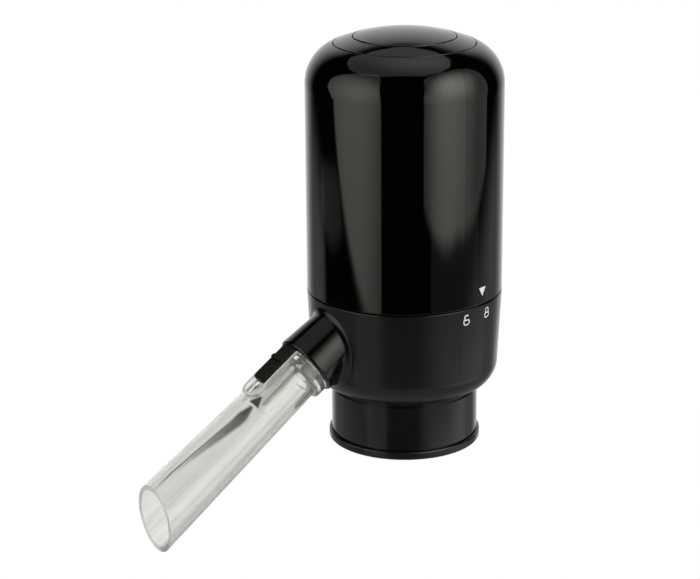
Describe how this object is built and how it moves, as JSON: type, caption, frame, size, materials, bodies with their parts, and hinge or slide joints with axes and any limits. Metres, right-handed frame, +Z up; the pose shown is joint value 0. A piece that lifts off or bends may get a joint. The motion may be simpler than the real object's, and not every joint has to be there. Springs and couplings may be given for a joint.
{
  "type": "electric wine aerator",
  "caption": "Black cylindrical electric wine aerator for a bottle's neck, with a twist-off cover, a top push button, a gear pump inside and a clear slanted pouring spout.",
  "frame": {"origin": "on the body's axis, on the stopper's underside that the bottle's lip seals against", "axes": "+Z up along the body's axis, -Y towards the spout, +X to the right as the spout is seen from in front"},
  "size_m": [0.072, 0.1458, 0.1746],
  "materials": {
    "gloss_black": "gloss",
    "satin_black": "satin",
    "clear_plastic": "gloss",
    "black_rubber": "matte",
    "silicone": "satin",
    "grey_plastic": "satin",
    "white_plastic": "satin",
    "steel": "satin",
    "copper_winding": "satin",
    "cell_wrap": "satin",
    "board_green": "satin",
    "gasket_red": "matte"
  },
  "bodies": {
    "base": {"lower_housing": "satin_black", "bottle_collar": "satin_black", "base_ring": "black_rubber", "collar_screws": "steel", "bottle_stopper": "black_rubber", "inlet_fitting": "grey_plastic", "suction_hose": "silicone", "delivery_hose": "silicone", "pump_body": "white_plastic", "pump_cover": "white_plastic", "pump_gasket": "gasket_red", "pump_screws": "steel", "shaft_seal": "black_rubber", "idler_pin": "steel", "motor_can": "steel", "motor_magnets": "grey_plastic", "motor_end_bell": "grey_plastic", "motor_leads": "gasket_red", "inner_frame": "grey_plastic", "frame_screws": "steel", "battery_1": "cell_wrap", "battery_2": "cell_wrap", "battery_3": "cell_wrap", "battery_4": "cell_wrap", "contact_springs": "steel", "contact_plates": "steel", "battery_cap": "grey_plastic", "cap_screws": "steel", "circuit_board": "board_green", "board_screws": "steel", "switch_body": "grey_plastic"},
    "cover": {"cover_shell": "gloss_black", "button_bezel": "gloss_black", "button_spring": "steel"},
    "button": {"power_button": "gloss_black", "button_clip": "steel"},
    "plunger": {"switch_plunger": "white_plastic"},
    "spout": {"spout_tube": "clear_plastic", "spout_oring": "black_rubber", "venturi_nozzle": "clear_plastic"},
    "slider": {"spout_slider": "gloss_black"},
    "drive": {"drive_gear": "white_plastic", "motor_shaft": "steel", "motor_rotor": "copper_winding"},
    "idler": {"idler_gear": "white_plastic"}
  },
  "joints": [
    {"name": "cover_twist", "type": "hinge", "parent": "base", "child": "cover", "pos_m": [0, 0, 0.0432], "axis": [0, 0, 1], "range_deg": [-13, 5.5]},
    {"name": "button_press", "type": "slide", "parent": "cover", "child": "button", "axis": [0, 0, -1], "range_m": [0, 0.0015], "stiffness_N_per_m": 600, "springref_m": -0.001, "deforming": ["button_spring"]},
    {"name": "switch_press", "type": "slide", "parent": "base", "child": "plunger", "axis": [0, 0, -1], "range_m": [0, 0.0015]},
    {"name": "spout_pull", "type": "slide", "parent": "base", "child": "spout", "axis": [0, -0.829, -0.5592], "range_m": [0, 0.03]},
    {"name": "slider_slide", "type": "slide", "parent": "spout", "child": "slider", "axis": [0, -0.829, -0.5592], "range_m": [0, 0.0048]},
    {"name": "pump_drive", "type": "hinge", "parent": "base", "child": "drive", "pos_m": [0, 0, 0.0275], "axis": [0, 0, 1], "continuous": true},
    {"name": "pump_idler", "type": "hinge", "parent": "base", "child": "idler", "pos_m": [0.012, 0, 0.0275], "axis": [0, 0, 1], "continuous": true}
  ],
  "couplings": [
    {"joint": "switch_press", "follows": "button_press", "ratio": 1},
    {"joint": "pump_idler", "follows": "pump_drive", "ratio": -1}
  ]
}
